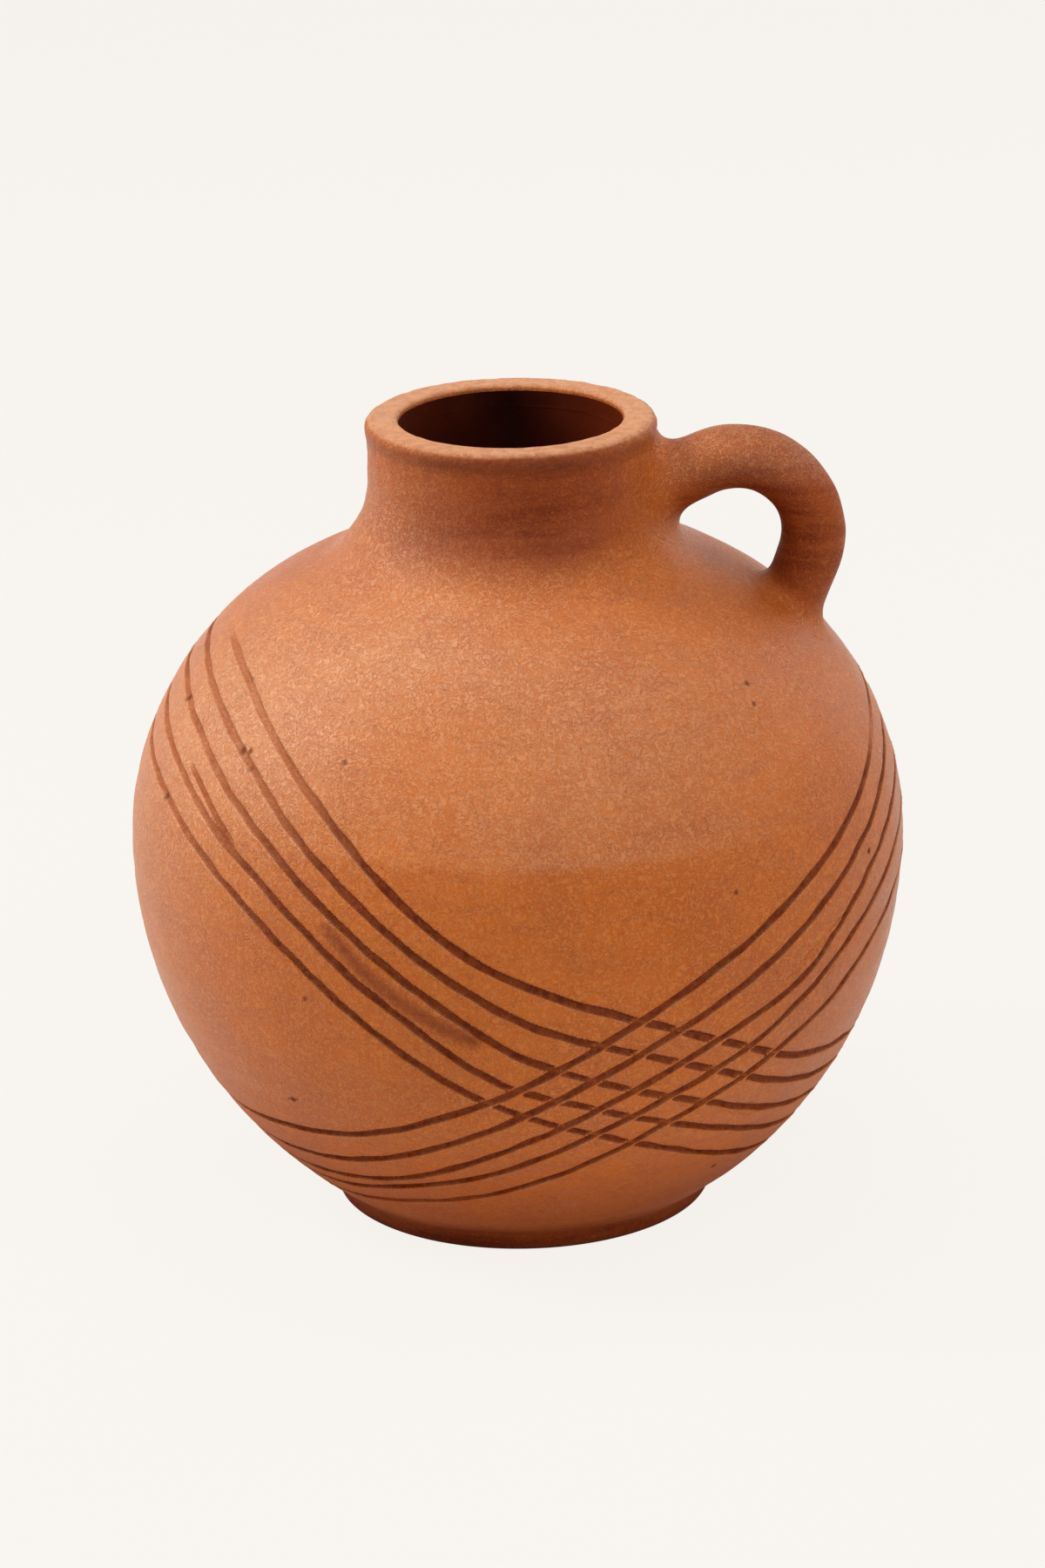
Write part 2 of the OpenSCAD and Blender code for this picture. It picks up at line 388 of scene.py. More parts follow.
def incise(points, normals):
    """Cut depth, raised lips, and how far each point is from the edge of the nearest cut."""
    first = nearest_line(points, normals, "first")
    second = nearest_line(points, normals, "second")
    # The second band was cut last: it ploughed clay into the first band's lines and rode up over them.
    beside = np.abs(second["distance"])
    closed = 1 - 0.9 * smooth_step((2.7 - beside) / 1.3) * np.clip(second["depth"] / LINE_DEPTH * 1.3, 0, 1)
    over = 1 - 0.4 * np.exp(-(first["distance"] / 0.95) ** 2) * (first["depth"] / LINE_DEPTH)
    first["depth"] = first["depth"] * closed
    second["depth"] = second["depth"] * over
    cut = np.maximum(trough(first), trough(second))
    raised = np.where(cut > 0.02, 0, lip(first) + lip(second))
    edge = np.full(len(points), 99.0)
    floor, power = np.zeros(len(points)), np.zeros(len(points))
    for line in (first, second):
        gap = np.abs(line["distance"]) - line["half"]
        # Painted light: on the lower wall, which the light reaches, the dark floor colour stops a further 0.1 short, so
        # that wall stays paler.
        lit_wall_shift = 0.1 * (line["distance"] < 0)
        floor = np.maximum(floor, floor_share(gap + lit_wall_shift, line["depth"]))
        power = np.maximum(power, np.where(gap < 0.6, line["depth"], 0))
        edge = np.minimum(edge, gap)
    for mark in MARKS:
        centre = surface_point(math.radians(mark[0][0][0]), mark[0][0][1])
        near = np.nonzero(np.linalg.norm(points - centre, axis=1) < 75)[0]
        depth, gap, strength = mark_depth(points[near], mark)
        cut[near] = np.maximum(cut[near], depth)
        floor[near] = np.maximum(floor[near], floor_share(gap, strength))
        power[near] = np.maximum(power[near], np.where(gap < 0.6, strength, 0))
        edge[near] = np.minimum(edge[near], gap)
    for angle, z, radius in CRUMBS:
        gap = np.linalg.norm(points - surface_point(math.radians(angle), z), axis=1) - radius
        edge = np.minimum(edge, np.maximum(gap, -0.2))
    return cut, raised, edge, (floor, power / LINE_DEPTH), first, second


def snap_shift(first, second):
    """Small sideways moves that put the nearest lattice points on the cuts' edges."""
    shift = np.zeros_like(first["across"])
    reach = 0.26
    for line in (first, second):
        off = np.sign(line["distance"]) * line["half"] - line["distance"]
        ready = (np.abs(off) < reach) & (line["depth"] > 0.25)
        shift[ready] = off[ready, None] * line["across"][ready]
    return shift


def wall_lattice():
    """Fine lattice of the outer wall between the foot and the neck, and its normals."""
    bottom = OUTER.where(FOOT_H)
    belly = OUTER.where(BELLY_H)
    top = OUTER.where(NECK_Z)
    rows = np.r_[
        np.linspace(bottom, belly, LOWER_ROWS * SPLIT + 1),
        np.linspace(belly, top, UPPER_ROWS * SPLIT + 1)[1:],
    ]
    points = spin(OUTER.at(rows), FINE_COLUMNS)
    ahead, behind = OUTER.at(rows + 0.2), OUTER.at(rows - 0.2)
    way = ahead - behind
    way /= np.linalg.norm(way, axis=1)[:, None]
    normals = spin(np.stack([way[:, 1], -way[:, 0]], 1), FINE_COLUMNS)
    return points, normals


def leaf_cells(edge):
    """Cells of the lattice as (row, column, size): whole, halved near a cut, and halved again at it."""
    rows, columns = edge.shape
    leaves = []
    near = edge < NEAR_CUT
    wrapped = np.concatenate([near, near[:, :1]], 1)

    def busy(size):
        hit = np.zeros(((rows - 1) // size, columns // size), bool)
        for dj in range(size + 1):
            for di in range(size + 1):
                hit |= wrapped[dj:dj + rows - size:size, di:di + columns - size + 1:size][:hit.shape[0], :hit.shape[1]]
        return hit

    whole = busy(4)
    half = busy(2)
    for j, i in zip(*np.nonzero(~whole)):
        leaves.append((4 * j, 4 * i, 4))
    inside = np.repeat(np.repeat(whole, 2, 0), 2, 1)
    for j, i in zip(*np.nonzero(inside & ~half)):
        leaves.append((2 * j, 2 * i, 2))
    for j, i in zip(*np.nonzero(inside & half)):
        for dj in (0, 1):
            for di in (0, 1):
                leaves.append((2 * j + dj, 2 * i + di, 1))
    return np.array(leaves)


def cell_faces(leaves, shape):
    """Faces of the leaves, each with the points of smaller neighbours on its edges."""
    rows, columns = shape
    used = np.zeros((rows, columns), bool)
    j, i, s = leaves.T
    for dj, di in ((0, 0), (0, 1), (1, 0), (1, 1)):
        used[j + dj * s, (i + di * s) % columns] = True
    faces = []
    for j, i, s in leaves:
        ring = [(j, i + k) for k in range(s)] + [(j + k, i + s) for k in range(s)]
        ring += [(j + s, i + s - k) for k in range(s)] + [(j + s - k, i) for k in range(s)]
        faces.append([a * columns + b % columns for a, b in ring if used[a, b % columns]])
    return faces, used


class Surface:
    """Points and faces of one piece while it is put together. Faces know if they show."""

    def __init__(self):
        self.marks = {}
        self.points = []
        self.faces = []
        self.shows = []
        self.dull = []
        self.count = 0

    def add_points(self, points):
        first = self.count
        self.points.append(np.asarray(points, float).reshape(-1, 3))
        self.count += len(self.points[-1])
        return first

    def add_faces(self, faces, shows=True, dull=False):
        self.faces += faces
        self.shows += [shows] * len(faces)
        self.dull += [dull] * len(faces)

    def add_grid(self, first, rows, columns, shows=True):
        """Quads between neighbouring rows of a closed lathe grid, facing out for rising rows."""
        j, i = np.meshgrid(np.arange(rows - 1), np.arange(columns), indexing="ij")
        a = first + j * columns + i
        b = first + j * columns + (i + 1) % columns
        quads = np.stack([a, b, b + columns, a + columns], -1).reshape(-1, 4)
        self.add_faces(quads.tolist(), shows)

    def all_points(self):
        return np.concatenate(self.points)


def ring_bridge(surface, outer_ids, outer_angle, inner_ids, flip):
    """Hidden flat ring between an outer run of points and the inner wall's row, as one face a column."""
    count = len(inner_ids)
    step = 2 * math.pi / count
    faces = []
    order = np.argsort(outer_angle)
    angles, ids = outer_angle[order], np.array(outer_ids)[order]
    for k in range(count):
        low, high = k * step, (k + 1) * step
        run = ids[(angles >= low - 1e-6) & (angles <= high + 1e-6)].tolist()
        if k == count - 1:
            run.append(int(ids[0]))
        face = [int(inner_ids[(k + 1) % count]), int(inner_ids[k])] + run
        faces.append(face if flip else face[::-1])
    surface.add_faces(faces, shows=False)


def column_angles(columns):
    return 2 * math.pi * np.arange(columns) / columns


INSIDE_RINGS = Waves(21, 9, stretch=(60, 60, 1))


def inner_wall(low, high, steps):
    """Rows of the hollow's wall between two heights, rising, with soft throwing rings."""
    z = np.linspace(low, high, steps + 1)
    lower = LOWER_C[0] + np.sqrt(np.maximum((LOWER_ARC - WALL) ** 2 - (z - BELLY_H) ** 2, 0))
    upper = SHOULDER_C[0] + np.sqrt(np.maximum((SHOULDER_ARC - WALL) ** 2 - (z - BELLY_H) ** 2, 0))
    reach = NECK_SWEEP + WALL
    sweep = SWEEP_C[0] - np.sqrt(np.maximum(reach ** 2 - (np.minimum(z, SWEEP_C[1]) - SWEEP_C[1]) ** 2, 0))
    turn_z = BELLY_H + (SHOULDER_ARC - WALL) * math.sin(SWEEP_ANGLE)
    r = np.where(z < BELLY_H, lower, np.where(z < turn_z, upper, sweep))
    points = spin(np.stack([r, z], 1), INNER_COLUMNS)
    swell = 0.25 + 0.22 * INSIDE_RINGS.at(points)
    points[..., :2] *= (1 + np.clip(swell, 0, None) / r[:, None])[..., None]
    return points


def reversed_grid(surface, points):
    """Adds a lathe grid of the hollow, which faces the axis."""
    rows, columns = points.shape[:2]
    first = surface.add_points(points)
    before = len(surface.faces)
    surface.add_grid(first, rows, columns)
    surface.faces[before:] = [f[::-1] for f in surface.faces[before:]]
    surface.dull[before:] = [True] * (len(surface.faces) - before)
    return first


def outward_grid(surface, points):
    rows, columns = points.shape[:2]
    first = surface.add_points(points)
    surface.add_grid(first, rows, columns)
    return first


def add_disc(surface, ring_ids, centre, up, shows):
    """A fan from a ring of points to a point on the axis."""
    middle = surface.add_points([centre])
    count = len(ring_ids)
    faces = [[int(ring_ids[k]), int(ring_ids[(k + 1) % count]), middle] for k in range(count)]
    surface.add_faces(faces if up else [f[::-1] for f in faces], shows)


def dipped(points, normals=None):
    """Points moved in to the hand-made surface, level and towards the axis where no normal is given."""
    if normals is None:
        normals = points * np.array([1, 1, 0])
        normals /= np.maximum(np.linalg.norm(normals, axis=-1, keepdims=True), 1e-9)
    return points - hand_dip(points)[..., None] * normals


def profile_normals(lengths, columns, profile=OUTER):
    way = profile.at(lengths + 0.05) - profile.at(lengths - 0.05)
    way /= np.linalg.norm(way, axis=1)[:, None]
    return spin(np.stack([way[:, 1], -way[:, 0]], 1), columns)


def body_pieces():
    """The bowl and the shoulder: one fine outer wall, cut at the belly, each with its inner wall."""
    points, normals = wall_lattice()
    shape = points.shape[:2]
    flat, ways = points.reshape(-1, 3), normals.reshape(-1, 3)
    cut, raised, edge, shares, first, second = incise(flat, ways)
    leaves = leaf_cells(edge.reshape(shape))
    faces, used = cell_faces(leaves, shape)
    shift = snap_shift(first, second)
    moved = flat + shift
    cut, raised, edge, (floor, power), first, second = incise(moved, ways)
    moved = moved - (hand_dip(moved) + cut - raised)[:, None] * ways
    radius = np.hypot(moved[:, 0], moved[:, 1])
    moved[:, :2] *= np.minimum(1, (BELLY_R - 0.03) / radius)[:, None]
    belly_row = LOWER_ROWS * SPLIT
    pieces = {}
    for name, low, high in (("lower_body", 0, belly_row), ("upper_body", belly_row, shape[0] - 1)):
        mine = (leaves[:, 0] >= low) & (leaves[:, 0] < high)
        own = [f for f, m in zip(faces, mine) if m]
        ids = np.unique(np.concatenate([np.array(f) for f in own]))
        lookup = np.full(len(flat), -1)
        lookup[ids] = np.arange(len(ids))
        surface = Surface()
        surface.add_points(moved[ids])
        surface.add_faces([lookup[f].tolist() for f in own])
        surface.marks = {
            "cut": floor[ids],
            "power": np.clip(power[ids], 0, 1),
            # burr: painted highlight along the lower edges of the cuts.
            "burr_and_highlight": np.maximum(painted_edge_highlight(first), painted_edge_highlight(second))[ids],
            # stain here: painted shade in the corners under the cuts' upper edges.
            "stain_and_shade": 0.7 * np.maximum(painted_corner_shade(first), painted_corner_shade(second))[ids],
        }
        rims = []
        for row in (low, high):
            columns = np.nonzero(used[row])[0]
            known = lookup[row * shape[1] + columns]
            rims.append((known[known >= 0], column_angles(shape[1])[columns[known >= 0]]))
        pieces[name] = (surface, rims)
    lower, rims = pieces["lower_body"]
    inner = inner_wall(FLOOR_Z, BELLY_H, 26)
    first_id = reversed_grid(lower, inner)
    last = first_id + (inner.shape[0] - 1) * INNER_COLUMNS
    ring_bridge(lower, rims[1][0], rims[1][1], np.arange(last, last + INNER_COLUMNS), True)
    add_disc(lower, np.arange(first_id, first_id + INNER_COLUMNS), (0, 0, FLOOR_Z - 0.2), True, True)
    lower.dull[-INNER_COLUMNS:] = [True] * INNER_COLUMNS
    add_disc(lower, rims[0][0][np.argsort(rims[0][1])], (0, 0, FOOT_H), False, False)
    upper, rims = pieces["upper_body"]
    inner = inner_wall(BELLY_H, NECK_Z, 24)
    first_id = reversed_grid(upper, inner)
    last = first_id + (inner.shape[0] - 1) * INNER_COLUMNS
    ring_bridge(upper, rims[0][0], rims[0][1], np.arange(first_id, first_id + INNER_COLUMNS), False)
    ring_bridge(upper, rims[1][0], rims[1][1], np.arange(last, last + INNER_COLUMNS), True)
    return lower, upper


def neck_piece():
    surface = Surface()
    lengths = np.linspace(OUTER.where(NECK_Z), OUTER.length[-1], 26)
    lengths[-1] -= 1e-6
    outer = dipped(spin(OUTER.at(lengths), COLUMNS), profile_normals(lengths, COLUMNS))
    first = outward_grid(surface, outer)
    top = first + (len(lengths) - 1) * COLUMNS
    inner = inner_wall(NECK_Z, RIM_Z, 10)
    inner_first = reversed_grid(surface, inner)
    inner_top = inner_first + (inner.shape[0] - 1) * INNER_COLUMNS
    angles = column_angles(COLUMNS)
    ring_bridge(surface, np.arange(first, first + COLUMNS), angles,
                np.arange(inner_first, inner_first + INNER_COLUMNS), False)
    ring_bridge(surface, np.arange(top, top + COLUMNS), angles,
                np.arange(inner_top, inner_top + INNER_COLUMNS), True)
    return surface


RIM_GRIT = Waves(31, 1.9, count=24)
RIM_CHIPS = Waves(33, 5.5, count=16)
RIM_COLUMNS = 2 * COLUMNS
FRONT_ANGLE = -90.0


def rim_piece():
    """The rolled rim: straight outer face, rounded edges and flat top, rough along its front edge."""
    rise = np.linspace(RIM_Z, JAR_H - RIM_ROUND, 12)
    overhang = NECK_R + (RIM_R - NECK_R) * smooth_step((rise - RIM_Z) / (rise[-1] - RIM_Z))
    profile = Profile([
        np.stack([overhang, rise], 1),
        arc((RIM_R - RIM_ROUND, JAR_H - RIM_ROUND), RIM_ROUND, 0, math.pi / 2, 14),
        arc((MOUTH_R + LIP_ROUND, JAR_H - LIP_ROUND), LIP_ROUND, math.pi / 2, math.pi, 10),
        np.array([[MOUTH_R, RIM_Z]]),
    ])
    lengths = np.linspace(0, profile.length[-1], 54)
    points = spin(profile.at(lengths), RIM_COLUMNS)
    normals = profile_normals(lengths, RIM_COLUMNS, profile)
    around = np.degrees(np.arctan2(points[..., 1], points[..., 0]))
    front = np.exp(-(turn_gap(around, FRONT_ANGLE) / 62) ** 2)
    rz = profile.at(lengths)
    corner = np.exp(-(((rz[:, 0] - RIM_R + 0.7) / 1.7) ** 2 + ((rz[:, 1] - JAR_H + 0.7) / 1.9) ** 2))[:, None]
    grit = np.clip(0.5 + RIM_GRIT.at(points), 0, 2) * 0.13 + np.clip(RIM_CHIPS.at(points) - 0.2, 0, 1) * 0.35
    dip = 0.06 + 0.04 * RIM_CHIPS.at(points) + corner * (0.25 + 0.75 * front) * grit
    ends = smooth_step(np.minimum(lengths, lengths[-1] - lengths) / 0.5)[:, None]
    points = points - (np.clip(dip, 0, None) * ends)[..., None] * normals
    outer = dipped(spin(profile.at(lengths[:1]), RIM_COLUMNS))
    points[0] = outer[0]
    surface = Surface()
    first = outward_grid(surface, points)
    last = first + (len(lengths) - 1) * RIM_COLUMNS
    ids = np.arange(RIM_COLUMNS)
    quads = [[int(first + k), int(last + k), int(last + (k + 1) % RIM_COLUMNS), int(first + (k + 1) % RIM_COLUMNS)]
             for k in ids]
    surface.add_faces(quads, shows=False)
    low = points[..., 2].reshape(-1) < JAR_H - 1.6
    near = np.hypot(points[..., 0], points[..., 1]).reshape(-1) < MOUTH_R + 1
    deep = low & near
    surface.dull = [bool(deep[f].all()) for f in surface.faces]
    return surface


def foot_piece():
    surface = Surface()
    lengths = np.linspace(0, OUTER.where(FOOT_H), 16)
    points = spin(OUTER.at(lengths), COLUMNS)
    normals = profile_normals(np.maximum(lengths, 0.05), COLUMNS)
    ease = smooth_step(points[..., 2:] / 1.5)
    points = points - ease * hand_dip(points)[..., None] * normals
    first = outward_grid(surface, points)
    top = first + (len(lengths) - 1) * COLUMNS
    add_disc(surface, np.arange(first, first + COLUMNS), (0, 0, 0), False, True)
    add_disc(surface, np.arange(top, top + COLUMNS), (0, 0, FOOT_H), True, False)
    return surface


# Handle: a coil 18 thick and 20 wide, bent round a loop and drawn straight onto neck and shoulder.
COIL_T = 9.0
COIL_W = 10.0
LOOP_C = (62.4, 195.0)
LOOP_R = 22.0
UPPER_TURN = math.radians(115)
LOWER_TURN = math.radians(-20)
UPPER_END = 26.0
LOWER_END = 24.0
UPPER_FLARE = 10.0
LOWER_FLARE = 6.0
HANDLE_SIDES = 96
HANDLE_RINGS = 110
FLARE_RINGS = 18


def coil_line(t):
    """Centre of the coil and the way it runs, for a length t measured down from the upper turn."""
    bend = LOOP_R * (UPPER_TURN - LOWER_TURN)
    a = UPPER_TURN - np.clip(t, 0, bend) / LOOP_R
    way = np.stack([np.sin(a), 0 * a, -np.cos(a)], -1)
    over = np.where(t < 0, t, np.where(t > bend, t - bend, 0))
    centre = np.stack([LOOP_C[0] + LOOP_R * np.cos(a), 0 * a, LOOP_C[1] + LOOP_R * np.sin(a)], -1)
    outward = np.stack([np.cos(a), 0 * a, np.sin(a)], -1)
    return centre + over[..., None] * way, outward


def coil_skin(t, phi, more):
    """Point on the coil's skin, moved out by more, for an angle phi round the coil."""
    centre, outward = coil_line(t)
    across = np.array([0, 1.0, 0])
    arm = COIL_T * np.cos(phi)[..., None] * outward + COIL_W * np.sin(phi)[..., None] * across
    size = np.linalg.norm(arm, axis=-1, keepdims=True)
    return centre + arm * (1 + more[..., None] / size)


def jar_gap(points):
    """Distance from a point to the outside of the neck or shoulder, negative inside."""
    r, z = np.hypot(points[..., 0], points[..., 1]), points[..., 2]
    lean = np.arctan2(z - BELLY_H, r - SHOULDER_C[0])
    shoulder = np.hypot(r - SHOULDER_C[0], z - BELLY_H) - SHOULDER_ARC
    sweep = NECK_SWEEP - np.hypot(r - SWEEP_C[0], z - SWEEP_C[1])
    return np.where(lean < SWEEP_ANGLE, shoulder, np.where(z > SWEEP_C[1], r - NECK_R, sweep))


def solve_length(phi, more, gap, start, end):
    """Length along the coil at which its skin, moved out, is that far from the jar."""
    inner, outer = np.full(phi.shape, end), np.full(phi.shape, start)
    for _ in range(40):
        middle = (inner + outer) / 2
        point = coil_skin(middle, phi, more)
        deep = jar_gap(point) + hand_dip(point) < gap
        inner = np.where(deep, middle, inner)
        outer = np.where(deep, outer, middle)
    return (inner + outer) / 2


def handle_piece():
    """Columns of points along the coil, each faired into the jar at both ends."""
    phi = column_angles(HANDLE_SIDES)
    bend = LOOP_R * (UPPER_TURN - LOWER_TURN)
    middle = bend * 0.45
    tau = np.linspace(0, 1, FLARE_RINGS + 1)
    rows = []

    def flare(size, end):
        ends = []
        for share in tau:
            more = np.full(phi.shape, size * share ** 2)
            gap = np.full(phi.shape, size * (1 - share) ** 2)
            length = solve_length(phi, more, gap, middle, end)
            ends.append((coil_skin(length, phi, more), length))
        under = ends[-1][0]
        sunk = under - 0.5 * jar_normals(under)
        return ends, sunk

    upper, upper_sunk = flare(UPPER_FLARE, -UPPER_END)
    lower, lower_sunk = flare(LOWER_FLARE, bend + LOWER_END)
    rows.append(upper_sunk)
    rows += [points for points, _ in upper[::-1]]
    start, stop = upper[0][1], lower[0][1]
    for share in np.linspace(0, 1, HANDLE_RINGS + 1)[1:-1]:
        length = start + (stop - start) * share
        rows.append(coil_skin(length, phi, np.zeros(phi.shape)))
    rows += [points for points, _ in lower]
    rows.append(lower_sunk)
    points = np.stack(rows)
    surface = Surface()
    first = surface.add_points(points)
    surface.add_grid(first, len(rows), HANDLE_SIDES)
    ids = np.arange(first, first + HANDLE_SIDES)
    last = ids + (len(rows) - 1) * HANDLE_SIDES
    upper_heart = coil_line(np.array(-UPPER_END * 0.8))[0]
    lower_heart = coil_line(np.array(bend + LOWER_END * 0.8))[0]
    add_disc(surface, ids, upper_heart, False, False)
    add_disc(surface, last, lower_heart, True, False)
    all_points = surface.all_points()
    lift = HANDLE_HAND.at(all_points[:-2]) * 0.12 + HANDLE_DENTS.at(all_points[:-2]) * 0.05
    free = smooth_step(jar_gap(all_points[:-2]) / 6)
    centre_gap = all_points[:-2] - np.repeat(ring_centres(points), HANDLE_SIDES, 0)
    centre_gap /= np.linalg.norm(centre_gap, axis=1)[:, None]
    moved = all_points[:-2] + (free * (lift - 0.15))[:, None] * centre_gap
    surface.points = [moved, all_points[-2:]]
    return surface


HANDLE_HAND = Waves(51, 26)
HANDLE_DENTS = Waves(52, 9)


def ring_centres(points):
    return points.mean(1)


def jar_normals(points):
    """Outward way of the jar's surface at points close to it."""
    step = 0.05
    ways = np.stack([
        jar_gap(points + step * np.eye(3)[k]) - jar_gap(points - step * np.eye(3)[k]) for k in range(3)
    ], -1)
    return ways / np.linalg.norm(ways, axis=-1, keepdims=True)


def face_normals(points, faces):
    """Newell normals of faces of any size, as long as twice their area."""
    sizes = np.array([len(f) for f in faces])
    loops = np.concatenate([np.array(f) for f in faces])
    ends = np.cumsum(sizes)
    starts = ends - sizes
    following = np.arange(1, len(loops) + 1)
    following[ends - 1] = starts
    a, b = points[loops], points[loops[following]]
    cross = np.cross(a, b)
    return np.add.reduceat(cross, starts, axis=0), loops, sizes


def shared_normals(surfaces):
    """Normals at the points of all the shown faces together, so that seams between pieces don't show."""
    sums, points_of = [], []
    for surface in surfaces:
        points = surface.all_points()
        normals, loops, sizes = face_normals(points, surface.faces)
        shows = np.repeat(np.array(surface.shows), sizes)
        each = np.repeat(normals, sizes, axis=0) * shows[:, None]
        total = np.zeros_like(points)
        for k in range(3):
            total[:, k] = np.bincount(loops, weights=each[:, k], minlength=len(points))
        sums.append(total)
        points_of.append(points)
    everything = np.concatenate(points_of)
    keys = np.round(everything / 0.002).astype(np.int64)
    _, group = np.unique(keys, axis=0, return_inverse=True)
    group = group.reshape(-1)
    joined = np.zeros((group.max() + 1, 3))
    total = np.concatenate(sums)
    for k in range(3):
        joined[:, k] = np.bincount(group, weights=total[:, k])
    joined /= np.maximum(np.linalg.norm(joined, axis=1), 1e-12)[:, None]
    result, start = [], 0
    for points in points_of:
        result.append(joined[group[start:start + len(points)]])
        start += len(points)
    return result


def add_piece(name, node, surface, normals, material, values):
    """Makes the mesh of a piece in metres, with its normals, its point values and its material."""
    points = surface.all_points()
    mesh = bpy.data.meshes.new(name)
    mesh.from_pydata((points * MM).tolist(), [], surface.faces)
    flat, loops, sizes = face_normals(points, surface.faces)
    flat = flat / np.maximum(np.linalg.norm(flat, axis=1), 1e-12)[:, None]
    shows = np.repeat(np.array(surface.shows), sizes)
    corner = np.where(shows[:, None], normals[loops], np.repeat(flat, sizes, axis=0))
    mesh.polygons.foreach_set("use_smooth", np.ones(len(mesh.polygons), bool))
    for key, value in values.items():
        attribute = mesh.attributes.new(key, "FLOAT", "POINT")
        attribute.data.foreach_set("value", value.astype(np.float32))
    mesh.update()
    mesh.normals_split_custom_set(corner.tolist())
    for each in material:
        mesh.materials.append(each)
    mesh.polygons.foreach_set("material_index", np.array(surface.dull, np.int32))
    piece = bpy.data.objects.new(name, mesh)
    bpy.context.scene.collection.objects.link(piece)
    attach(piece, "root")
    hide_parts(node)
    return piece


# Soft stains and tints on the fired surface: (degrees round the jar, height, reach round, reach up).
SMEAR = [(-118.2, 113.7), (-112.3, 102.8), (-106.8, 95.0), (-101.7, 89.1), (-96.9, 85.2)]
PALE_ARC = [(-96.1, 133.3), (-79.3, 134.6), (-65.9, 134.6), (-47.2, 133.3)]


def path_gap(points, path):
    """Distance from points to a run of places on the body."""
    knots = np.array([surface_point(math.radians(a), z) for a, z in path])
    gap = np.full(len(points), 999.0)
    for start, end in zip(knots[:-1], knots[1:]):
        way = end - start
        t = np.clip((points - start) @ way / (way @ way), 0, 1)
        gap = np.minimum(gap, np.linalg.norm(points - start - t[:, None] * way, axis=1))
    return gap


# Dark crumbs of grit where the tool dragged: (degrees round the jar, height, radius).
CRUMBS = [
    (-165.3, 157.2, 1.5), (-141.0, 154.0, 1.5), (-139.1, 154.3, 1.0), (-137.6, 150.5, 1.2), (-157.2, 134.0, 1.3),
    (-148.6, 168.8, 0.9), (-119.5, 157.2, 0.9), (-41.8, 169.0, 0.9), (-43.2, 164.5, 0.7), (-57.2, 121.0, 0.8),
    (-48.3, 27.2, 0.9), (-122.8, 92.4, 0.8), (-27.2, 117.0, 0.9), (-130.4, 55.9, 1.1),
]


def crumb_soot(points):
    total = np.zeros(len(points))
    for angle, z, radius in CRUMBS:
        place = surface_point(math.radians(angle), z)
        total = np.maximum(total, np.exp(-(np.linalg.norm(points - place, axis=1) / radius) ** 4))
    return total


def patch(points, angle, z, wide, tall):
    """A soft spot of the given size about a place on the surface, 1 at its middle."""
    around = np.degrees(np.arctan2(points[:, 1], points[:, 0]))
    return np.exp(-(turn_gap(around, angle) / wide) ** 2 - ((points[:, 2] - z) / tall) ** 2)


